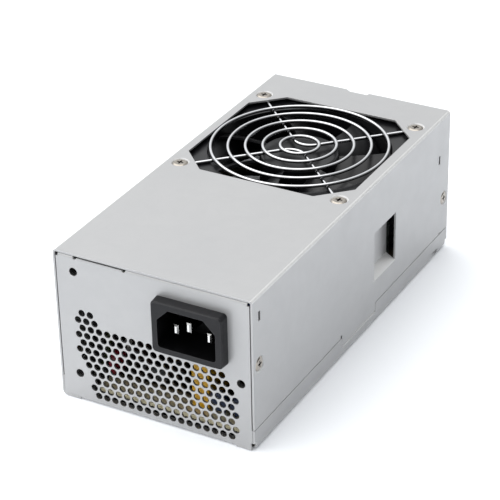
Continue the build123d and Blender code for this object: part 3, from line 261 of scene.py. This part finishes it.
def tray_steel():
    """The same sheet, with painted shade on the walls inside the end panels' holes and painted highlights
    on their thread crests.
    """
    s = sheet_steel("galvanised_tray")
    x, y, z = s.axes(s.coordinate)
    geometry = s.nodes.new("ShaderNodeNewGeometry")
    across = s.calc("LESS_THAN", s.calc("ABSOLUTE", s.axes(geometry.outputs["True Normal"])[1]), 0.6)
    in_panel = s.calc("GREATER_THAN", s.calc("ABSOLUTE", y), PANEL_FACE)
    inside_x = s.calc("LESS_THAN", s.calc("ABSOLUTE", x), PANEL_HALF_WIDTH)
    inside_z = s.product(s.calc("GREATER_THAN", z, PANEL_LOW), s.calc("LESS_THAN", z, PANEL_HIGH))
    shaded_hole_wall = s.product(across, in_panel, inside_x, inside_z)
    # painted shade on the hole walls
    s.mix(shaded_hole_wall, (0.012, 0.012, 0.012), 1.0)
    wave = s.calc("SINE", s.calc("MULTIPLY", y, 2 * math.pi / THREAD_PITCH))
    thread_highlight = s.calc("GREATER_THAN", wave, THREAD_HIGHLIGHT_LEVEL)
    # painted highlight on the thread crests
    s.mix(s.product(shaded_hole_wall, thread_highlight), (0.55, 0.55, 0.55), 0.7)
    return s


def screw_nickel():
    """Nickel-plated screw heads with painted shade on their edges."""
    s = Shader("nickel_plate", (0.42, 0.39, 0.35), metallic=1.0, roughness=0.2)
    s.soften(0.0001)
    s.mix(s.noise(700), (0.22, 0.19, 0.16), 0.6)
    # painted shade along the heads' edges
    s.mix(s.edge_mask(0.0003), (0.05, 0.042, 0.035), 0.8)
    s.vary_roughness(s.noise(900), 0.08)
    s.bump(s.noise(2500), 0.000003)
    return s.material


def zinc_plate():
    """Dull zinc plating, faintly mottled."""
    s = Shader("zinc_plate", (0.62, 0.60, 0.55), metallic=1.0, roughness=0.3)
    s.soften(0.0001)
    s.mix(s.noise(500), (0.48, 0.50, 0.52), 0.6)
    s.vary_roughness(s.noise(900), 0.08)
    s.bump(s.noise(2500), 0.000003)
    return s.material


def chrome_wire():
    """Chromed wire: painted reflection, bright where it faces up, and painted shade on its flanks."""
    s = Shader("chromed_wire", (0.78, 0.78, 0.79), metallic=1.0, roughness=0.1)
    s.mix(s.ranged(s.noise(350), 0, 1), (0.60, 0.61, 0.63), 0.5)
    # painted reflection on the upward-facing crown, painted shade on the flanks
    painted_sheen = s.facing((0, 0, 1), 0.45, 0.95)
    s.mix(s.calc("SUBTRACT", 1, painted_sheen), (0.10, 0.10, 0.105), 0.85)
    s.vary_roughness(s.noise(800), 0.05)
    s.bump(s.noise(1200, detail=2), 0.00001)
    return s.material


def fan_plastic():
    """Glossy black moulded plastic with faint flow marks and painted highlights on its edges."""
    s = Shader("fan_plastic", (0.004, 0.004, 0.005), roughness=0.32, Specular_IOR_Level=0.36)
    s.soften(0.0002)
    s.mix(s.ranged(s.noise(60, (1, 1, 0.4)), 0, 1), (0.006, 0.006, 0.007), 0.5)
    # painted highlight along sharp edges
    s.mix(s.edge_mask(0.0003), (0.02, 0.02, 0.022), 0.8)
    s.vary_roughness(s.noise(150, (1, 1, 0.3)), 0.04)
    s.bump(s.noise(3500, detail=2), 0.000001)
    return s.material


RECESS_LIP = -0.0915            # just behind the bezel's front face
RECESS_CENTRE = (0.017, 0.046)  # across and up
RECESS_HALF = (0.0125, 0.0085)  # just outside the recess walls


def inlet_plastic():
    """Dark grey moulded plastic with a fine spark-eroded texture, painted highlights on its edges and
    painted shade, near black, inside the recess.
    """
    s = Shader("inlet_plastic", (0.006, 0.006, 0.0075), roughness=0.42, Specular_IOR_Level=0.28)
    s.soften(0.0002)
    s.mix(s.ranged(s.noise(90), 0, 1), (0.010, 0.010, 0.012), 0.7)
    # painted highlight along sharp edges
    s.mix(s.edge_mask(0.0004), (0.055, 0.055, 0.060), 0.85)
    across, along, up = s.axes(s.coordinate)
    inside = [s.calc("LESS_THAN", s.calc("ABSOLUTE", s.calc("SUBTRACT", value, centre)), half)
              for value, centre, half in zip((across, up), RECESS_CENTRE, RECESS_HALF)]
    inside.append(s.calc("GREATER_THAN", along, RECESS_LIP))
    # painted shade, near black, inside the recess
    s.mix(s.product(*inside), (0.0015, 0.0015, 0.002), 1.0)
    s.vary_roughness(s.noise(400), 0.07)
    s.bump(s.noise(4500, detail=3), 0.000012)
    return s.material


def contact_metal():
    """Nickel-plated blades: painted highlight on the ends facing front, painted shade darkening the flanks.
    """
    # the near-black base colour is painted shade on the flanks
    s = Shader("contact_metal", (0.035, 0.035, 0.035), metallic=1.0, roughness=0.25)
    s.soften(0.0001)
    s.mix(s.ranged(s.noise(600, (1, 0.1, 1)), 0, 1), (0.02, 0.02, 0.02), 0.7)
    # painted highlight on the ends facing -Y
    s.mix(s.facing((0, -1, 0), 0.6, 0.9), (0.85, 0.85, 0.84), 0.95)
    s.vary_roughness(s.noise(900), 0.05)
    s.bump(s.noise(1500, (1, 0.1, 1)), 0.000004)
    return s.material


def plain_metal(name, color, roughness, brushed=(1, 1, 1), spread=0.06):
    s = Shader(name, color, metallic=1.0, roughness=roughness)
    s.soften(0.0001)
    s.mix(s.ranged(s.noise(600, brushed), 0, 1), tuple(c * 0.8 for c in color), 0.7)
    # painted highlight along sharp edges
    s.mix(s.edge_mask(0.0002), tuple(min(1, c * 1.6) for c in color), 0.7)
    s.vary_roughness(s.noise(900, brushed), spread)
    s.bump(s.noise(1500, brushed), 0.000004)
    return s.material


def plain_plastic(name, color, roughness, other=None, scale=300, **sockets):
    s = Shader(name, color, roughness=roughness, **sockets)
    s.soften(0.00015)
    s.mix(s.ranged(s.noise(scale), 0, 1), other or tuple(c * 0.75 for c in color), 0.7)
    # painted highlight along sharp edges
    s.mix(s.edge_mask(0.0002), tuple(min(1, c * 1.3 + 0.01) for c in color), 0.6)
    s.vary_roughness(s.noise(scale * 2), 0.07)
    s.bump(s.noise(scale * 8, detail=3), 0.000006)
    return s.material


def laminate(name, color, other):
    """Board laminate: woven mottling and darker lines of tinned track."""
    s = Shader(name, color, roughness=0.45)
    s.soften(0.0001)
    s.mix(s.ranged(s.noise(240, (1, 0.2, 1)), 0, 1), other, 0.7)
    s.mix(s.ranged(s.cells(180), 0, 1, 0.75, 0.8), tuple(c * 0.7 for c in color), 0.6)
    s.vary_roughness(s.noise(500), 0.08)
    s.bump(s.noise(2200, (1, 0.5, 1)), 0.00001)
    return s


BOARD_LIGHT_FADE = (-0.079, -0.072)   # painted light on the board's front strip fades into painted shade between these


def main_laminate():
    """Paper laminate: pale sawn edges, painted light on the front strip and painted shade darkening the
    faces further in.
    """
    # the dark face colour is painted shade inside the case
    s = laminate("board_laminate", (0.035, 0.024, 0.012), (0.02, 0.014, 0.007))
    geometry = s.nodes.new("ShaderNodeNewGeometry")
    sawn = s.calc("LESS_THAN", s.calc("ABSOLUTE", s.axes(geometry.outputs["True Normal"])[2]), 0.5)
    front = s.ranged(s.axes(s.coordinate)[1], 1, 0, *BOARD_LIGHT_FADE)
    # painted light near the front edge
    s.mix(front, (0.95, 0.84, 0.58), 0.9)
    s.mix(sawn, (0.80, 0.73, 0.50), 1.0)
    return s.material


def film():
    """Thin black insulating film, slightly wavy."""
    s = Shader("insulating_film", (0.003, 0.003, 0.004), roughness=0.55, Specular_IOR_Level=0.25)
    s.mix(s.ranged(s.noise(60), 0, 1), (0.007, 0.007, 0.008), 0.7)
    s.vary_roughness(s.noise(200), 0.06)
    s.bump(s.noise(150), 0.00002)
    return s.material


def make_materials():
    return {
        "case_steel": sheet_steel().material,
        "screw_nickel": screw_nickel(),
        "guard_chrome": chrome_wire(),
        "fan_plastic": fan_plastic(),
        "inlet_plastic": inlet_plastic(),
        "contact_metal": contact_metal(),
        "shaft_steel": plain_metal("shaft_steel", (0.55, 0.55, 0.56), 0.2, (1, 1, 0.1)),
        "magnet": plain_plastic("magnet", (0.06, 0.06, 0.065), 0.5),
        "bearing_bronze": plain_metal("bearing_bronze", (0.50, 0.32, 0.16), 0.4),
        "stator_steel": plain_metal("stator_steel", (0.42, 0.42, 0.43), 0.4, (0.2, 0.2, 3)),
        "copper": plain_metal("enamelled_copper", (0.30, 0.115, 0.05), 0.32),
        "board_brown": main_laminate(),
        "board_green": laminate("board_glass_epoxy", (0.012, 0.03, 0.018), (0.01, 0.02, 0.012)).material,
        "board_screw": zinc_plate(),
        "standoff_brass": plain_metal("standoff_brass", (0.66, 0.50, 0.22), 0.3, (1, 1, 0.2)),
        "film_black": film(),
        "wire_brown": plain_plastic("wire_brown", (0.05, 0.024, 0.014), 0.4),
        "wire_blue": plain_plastic("wire_blue", (0.03, 0.08, 0.35), 0.4),
        "wire_earth": plain_plastic("wire_earth", (0.03, 0.075, 0.015), 0.4, (0.12, 0.11, 0.015), 120),
        "terminal_tin": plain_metal("terminal_tin", (0.68, 0.68, 0.66), 0.3),
        "yellow_box": plain_plastic("capacitor_yellow", (0.90, 0.50, 0.03), 0.32),
        # blue darkened as painted shade inside the case
        "blue_dip": plain_plastic("dipped_blue_in_shade", (0.012, 0.025, 0.07), 0.3),
        "red_dip": plain_plastic("dipped_red", (0.22, 0.010, 0.022), 0.35),
        "green_dip": plain_plastic("dipped_green", (0.03, 0.07, 0.04), 0.5),
        "fuse_glass": plain_plastic("fuse_ceramic", (0.75, 0.73, 0.68), 0.35),
        "choke_core": plain_plastic("core_coating", (0.03, 0.035, 0.04), 0.45),
        "epoxy_black": plain_plastic("moulded_epoxy", (0.015, 0.015, 0.015), 0.5),
        "choke_yellow": plain_plastic("powder_core", (0.60, 0.50, 0.06), 0.45),
        "can_sleeve": plain_plastic("can_sleeve", (0.02, 0.022, 0.035), 0.3),
        "heatsink": plain_metal("heatsink", (0.36, 0.36, 0.37), 0.4, (1, 0.05, 1)),
        "ferrite": plain_plastic("ferrite", (0.05, 0.05, 0.055), 0.55),
        "tape_yellow": plain_plastic("winding_tape", (0.32, 0.23, 0.03), 0.4, None, 150),
        "connector_white": plain_plastic("nylon_white", (0.78, 0.76, 0.68), 0.4),
        "wire_black": plain_plastic("wire_black", (0.015, 0.015, 0.016), 0.4),
        "grommet_rubber": plain_plastic("grommet_rubber", (0.018, 0.018, 0.018), 0.65),
    }


def dress_frame(materials):
    """Each CAD node takes the finish of its slot in the record."""
    for part in frame["record"]["subparts"]:
        node = NODES[part["node"]]
        node.data.materials.clear()
        node.data.materials.append(materials[part["material_slot"]])
    NODES["tray"].data.materials[0] = tray_steel().material


# ------------------------------------------------------------------ wound wire
WIRE_SLACK = 0.00005             # between wire and core
TURN_PITCH = 1.03                # spacing of turns along the bore, in wire diameters
ARC_STEPS = 4                    # points on the wire's bend over each corner of the core
LINE_CHOKE = {"inner": 0.006, "diameter": 0.0009, "arcs": ((-70, 140), (110, 140))}
PFC_CHOKE = {"inner": 0.007, "diameter": 0.0011, "arcs": ((-80, 320),)}
OUTPUT_CHOKE = {"inner": 0.0065, "diameter": 0.0013, "arcs": ((-80, 330),)}
# inner is the core's bore radius; each arc is its first angle and its sweep, in degrees


def section_loop(core_inner, core_outer, half_height, lift):
    """One turn round the core's rectangular section: (radius, height) pairs, bent round each corner."""
    corners = ((core_outer, half_height, 0), (core_inner, half_height, 90),
               (core_inner, -half_height, 180), (core_outer, -half_height, 270))
    loop = []
    for radius, height, first in corners:
        for step in range(ARC_STEPS):
            angle = math.radians(first + 90 * step / (ARC_STEPS - 1))
            loop.append((radius + lift * math.cos(angle), height + lift * math.sin(angle)))
    return loop


def coil_path(centre, upright, loop, turns, start, sweep_angle, board_top):
    """Points of one continuous winding over an arc of the ring, with both ends led down to the board."""
    points = []
    for step in range(turns * len(loop) + 1):
        radius, height = loop[step % len(loop)]
        angle = math.radians(start + sweep_angle * step / (turns * len(loop)))
        flat = (radius * math.cos(angle), radius * math.sin(angle))
        offset = Vector((flat[0], -height, flat[1])) if upright else Vector((*flat, height))
        points.append(centre + offset)
    ends = [Vector((end.x, end.y, board_top)) for end in (points[0], points[-1])]
    return [ends[0], *points, ends[1]]


def wire_mesh(name, paths, diameter, material):
    """Tubes along the given paths, joined in one mesh."""
    curve = bpy.data.curves.new(name, "CURVE")
    curve.dimensions = "3D"
    curve.bevel_depth = diameter / 2
    curve.bevel_resolution = 2
    curve.use_fill_caps = True
    for path in paths:
        spline = curve.splines.new("POLY")
        spline.points.add(len(path) - 1)
        for point, place in zip(spline.points, path):
            point.co = (*place, 1)
    holder = bpy.data.objects.new(name, curve)
    mesh = bpy.data.meshes.new_from_object(holder)
    bpy.data.objects.remove(holder)
    mesh.materials.clear()
    mesh.materials.append(material)
    mesh.shade_smooth()
    piece = bpy.data.objects.new(name, mesh)
    bpy.context.scene.collection.objects.link(piece)
    return piece


def wind_choke(core, node, material, inner, diameter, arcs, upright=False):
    """Enamelled wire wound on a ring core, in place of the winding's closed outer shape."""
    low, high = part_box(core)
    centre = (low + high) / 2
    size = high - low
    outer = size.x / 2
    half_height = (size.y if upright else size.z) / 2
    lift = diameter / 2 + WIRE_SLACK
    loop = section_loop(inner, outer, half_height, lift)
    board_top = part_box("main_board")[1].z
    paths = []
    for start, sweep_angle in arcs:
        bore_length = math.radians(sweep_angle) * (inner - lift)
        turns = int(bore_length / (diameter * TURN_PITCH))
        paths.append(coil_path(centre, upright, loop, turns, start, sweep_angle, board_top))
    piece = wire_mesh(node + "_wire", paths, diameter, material)
    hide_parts(node)
    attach(piece, "housing")


def wind_chokes(materials):
    # copper darkened to near black as painted shade inside the case
    dark = plain_metal("shaded_enamel_copper", (0.018, 0.010, 0.008), 0.35)
    copper = materials["copper"]
    wind_choke("line_choke_core", "line_choke_windings", dark, upright=True, **LINE_CHOKE)
    wind_choke("pfc_choke_core", "pfc_choke_winding", copper, **PFC_CHOKE)
    wind_choke("output_choke_core", "output_choke_winding", copper, **OUTPUT_CHOKE)


# ------------------------------------------------------------------ light and floor
FLOOR_HALF = 4
FLOOR_GAP = 0.0002               # keeps the floor clear of the case's underside


def make_stage():
    mesh = bpy.data.meshes.new("floor")
    build = bmesh.new()
    bmesh.ops.create_grid(build, x_segments=1, y_segments=1, size=FLOOR_HALF)
    build.to_mesh(mesh)
    build.free()
    floor = bpy.data.objects.new("floor", mesh)
    bpy.context.scene.collection.objects.link(floor)
    floor.location.z = cad_bounds[0][2] - FLOOR_GAP
    paint = Shader("floor", (0.89, 0.91, 0.94), roughness=0.9, Emission_Strength=0.1)
    paint.bsdf.inputs["Emission Color"].default_value = (0.96, 0.98, 1.0, 1)
    paint.mix(paint.noise(3), (0.91, 0.93, 0.96), 0.5)
    floor.data.materials.append(paint.material)


# A soft studio: brightest overhead and to the left, dim to the right and in front.
SKY_DIRECTION = (-0.60, 0.0, 0.80)
SKY_DIM = 0.34
SKY_BRIGHT = 1.6
KEY_FROM = (-0.5, -0.3, 1.2)
KEY_STRENGTH = 1.75
KEY_WIDTH = 90                   # degrees


def make_light():
    world = bpy.data.worlds.new("studio")
    world.use_nodes = True
    nodes, links = world.node_tree.nodes, world.node_tree.links
    direction = nodes.new("ShaderNodeTexCoord").outputs["Generated"]
    dot = nodes.new("ShaderNodeVectorMath")
    dot.operation = "DOT_PRODUCT"
    dot.inputs[1].default_value = SKY_DIRECTION
    links.new(direction, dot.inputs[0])
    ramp = nodes.new("ShaderNodeMapRange")
    for socket, number in (("From Min", 0), ("From Max", 1), ("To Min", SKY_DIM), ("To Max", SKY_BRIGHT)):
        ramp.inputs[socket].default_value = number
    links.new(dot.outputs["Value"], ramp.inputs["Value"])
    links.new(ramp.outputs["Result"], nodes["Background"].inputs["Strength"])
    nodes["Background"].inputs["Color"].default_value = (0.97, 0.985, 1.0, 1)
    bpy.context.scene.world = world
    light = bpy.data.lights.new("key", "SUN")
    light.energy = KEY_STRENGTH
    light.angle = math.radians(KEY_WIDTH)
    light.color = (1.0, 0.985, 0.96)
    key = bpy.data.objects.new("key", light)
    bpy.context.scene.collection.objects.link(key)
    key.matrix_world = Vector(KEY_FROM).to_track_quat("Z", "Y").to_matrix().to_4x4()


make_camera()
finishes = make_materials()
dress_frame(finishes)
wind_chokes(finishes)
make_stage()
make_light()
bpy.context.scene.view_settings.view_transform = "Standard"
